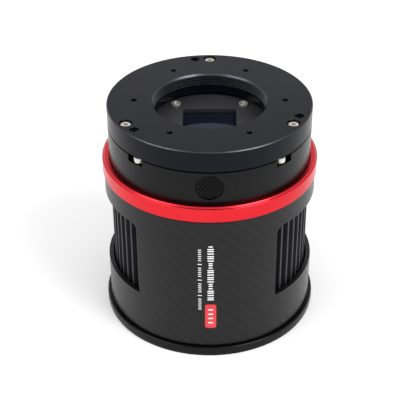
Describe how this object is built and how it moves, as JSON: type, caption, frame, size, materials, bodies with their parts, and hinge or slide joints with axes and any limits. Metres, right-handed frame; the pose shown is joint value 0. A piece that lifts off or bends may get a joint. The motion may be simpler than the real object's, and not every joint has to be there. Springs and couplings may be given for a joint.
{
  "type": "cooled astronomy camera",
  "caption": "Cylindrical cooled astronomy camera with a threaded nose, tilt plate, sensor chamber, Peltier cooler, radial-fin heatsink, fan and rear sockets.",
  "frame": {"origin": "centre of the flat rear face, on the optical axis", "axes": "+Z along the optical axis out of the threaded nose; -Y through the desiccant plug and the USB side; +X to the right-hand vent window"},
  "size_m": [0.082, 0.082, 0.0867],
  "materials": {
    "black_anodised": "fine bead-blasted black anodising, satin",
    "red_anodised": "bright red anodising, satin with polished edges",
    "carbon_shell": "matte carbon fibre laminate, 2x2 twill showing faintly",
    "steel_screw": "plain stainless screw heads",
    "black_screw": "blackened steel screws",
    "foam": "closed-cell black foam",
    "rubber": "black nitrile rubber",
    "coated_glass": "anti-reflection coated glass with a blue residual reflection",
    "clear_glass": "clear cover glass",
    "polyimide": "amber polyimide film",
    "sensor_package": "dark ceramic carrier",
    "circuit_board": "green solder resist",
    "black_plastic": "moulded black plastic",
    "copper": "machined copper",
    "ceramic": "white alumina",
    "socket_metal": "nickel-plated steel",
    "desiccant_beads": "blue indicating silica gel in a mesh sleeve"
  },
  "bodies": {
    "main_body": {"front_body": "black_anodised", "window_plate": "black_anodised", "heatsink": "black_anodised", "rear_cover": "black_anodised", "accent_ring": "red_anodised", "shell": "carbon_shell", "window_plate_screw_1": "steel_screw", "window_plate_screw_2": "steel_screw", "window_plate_screw_3": "steel_screw", "window_plate_screw_4": "steel_screw", "chamber_screw_1": "steel_screw", "chamber_screw_2": "steel_screw", "chamber_screw_3": "steel_screw", "chamber_screw_4": "steel_screw", "sensor_board_screw_1": "steel_screw", "sensor_board_screw_2": "steel_screw", "sensor_board_screw_3": "steel_screw", "sensor_board_screw_4": "steel_screw", "fan_screw_1": "black_screw", "fan_screw_2": "black_screw", "fan_screw_3": "black_screw", "fan_screw_4": "black_screw", "rear_screw_1": "black_screw", "rear_screw_2": "black_screw", "rear_screw_3": "black_screw", "rear_screw_4": "black_screw", "insulation_collar": "foam", "window_seal": "rubber", "chamber_seal": "rubber", "protective_window": "coated_glass", "sensor_cover_glass": "clear_glass", "window_heater": "polyimide", "data_ribbon": "polyimide", "power_ribbon": "polyimide", "sensor_package": "sensor_package", "sensor_board": "circuit_board", "main_board": "circuit_board", "port_board": "circuit_board", "power_board": "circuit_board", "board_connector": "black_plastic", "fan_frame": "black_plastic", "dc_socket": "black_plastic", "cold_finger": "copper", "peltier_module": "ceramic", "usb3_socket": "socket_metal", "usb2_socket_1": "socket_metal", "usb2_socket_2": "socket_metal", "desiccant_cartridge": "desiccant_beads"},
    "light_seal": {"light_seal": "foam"},
    "tilt_plate": {"tilt_plate": "black_anodised"},
    "fan_rotor": {"fan_rotor": "black_plastic"},
    "desiccant_plug": {"desiccant_plug": "black_anodised", "desiccant_plug_seal": "rubber"},
    "pull_screw_1": {"tilt_pull_screw_1": "steel_screw"},
    "push_screw_1": {"tilt_push_screw_1": "black_screw"},
    "pull_screw_2": {"tilt_pull_screw_2": "steel_screw"},
    "push_screw_2": {"tilt_push_screw_2": "black_screw"},
    "pull_screw_3": {"tilt_pull_screw_3": "steel_screw"},
    "push_screw_3": {"tilt_push_screw_3": "black_screw"}
  },
  "joints": [
    {"name": "tilt_x", "type": "hinge", "parent": "main_body", "child": "light_seal", "pos_m": [0, -0.017, 0.079], "axis": [1, 0, 0], "range_deg": [-0.224, 0.224]},
    {"name": "tilt_y", "type": "hinge", "parent": "light_seal", "child": "tilt_plate", "pos_m": [0, -0.017, 0.079], "axis": [0, 1, 0], "range_deg": [-0.389, 0.389]},
    {"name": "fan_spin", "type": "hinge", "parent": "main_body", "child": "fan_rotor", "pos_m": [0, 0, 0.0083], "axis": [0, 0, 1], "continuous": true},
    {"name": "desiccant_plug_slide", "type": "slide", "parent": "main_body", "child": "desiccant_plug", "axis": [0, -1, 0], "range_m": [0, 0.014]},
    {"name": "pull_screw_1_turn", "type": "hinge", "parent": "tilt_plate", "child": "pull_screw_1", "pos_m": [0, 0.034, 0.08395], "axis": [0, 0, 1], "range_deg": [-181, 181]},
    {"name": "push_screw_1_turn", "type": "hinge", "parent": "main_body", "child": "push_screw_1", "pos_m": [-0.00561, 0.03353, 0.0787], "axis": [0, 0, 1], "range_deg": [-181, 181]},
    {"name": "pull_screw_2_turn", "type": "hinge", "parent": "tilt_plate", "child": "pull_screw_2", "pos_m": [-0.02944, -0.017, 0.08395], "axis": [0, 0, 1], "range_deg": [-181, 181]},
    {"name": "push_screw_2_turn", "type": "hinge", "parent": "main_body", "child": "push_screw_2", "pos_m": [-0.02624, -0.02163, 0.0787], "axis": [0, 0, 1], "range_deg": [-181, 181]},
    {"name": "pull_screw_3_turn", "type": "hinge", "parent": "tilt_plate", "child": "pull_screw_3", "pos_m": [0.02944, -0.017, 0.08395], "axis": [0, 0, 1], "range_deg": [-181, 181]},
    {"name": "push_screw_3_turn", "type": "hinge", "parent": "main_body", "child": "push_screw_3", "pos_m": [0.03185, -0.01191, 0.0787], "axis": [0, 0, 1], "range_deg": [-181, 181]}
  ],
  "couplings": [
    {"joint": "pull_screw_1_turn", "follows": "tilt_x", "ratio": 801.11},
    {"joint": "push_screw_1_turn", "follows": "tilt_x", "ratio": -705.58},
    {"joint": "pull_screw_2_turn", "follows": "tilt_y", "ratio": 462.52},
    {"joint": "push_screw_2_turn", "follows": "tilt_y", "ratio": -366.31},
    {"joint": "pull_screw_3_turn", "follows": "tilt_y", "ratio": -462.52},
    {"joint": "push_screw_3_turn", "follows": "tilt_y", "ratio": 444.67}
  ]
}
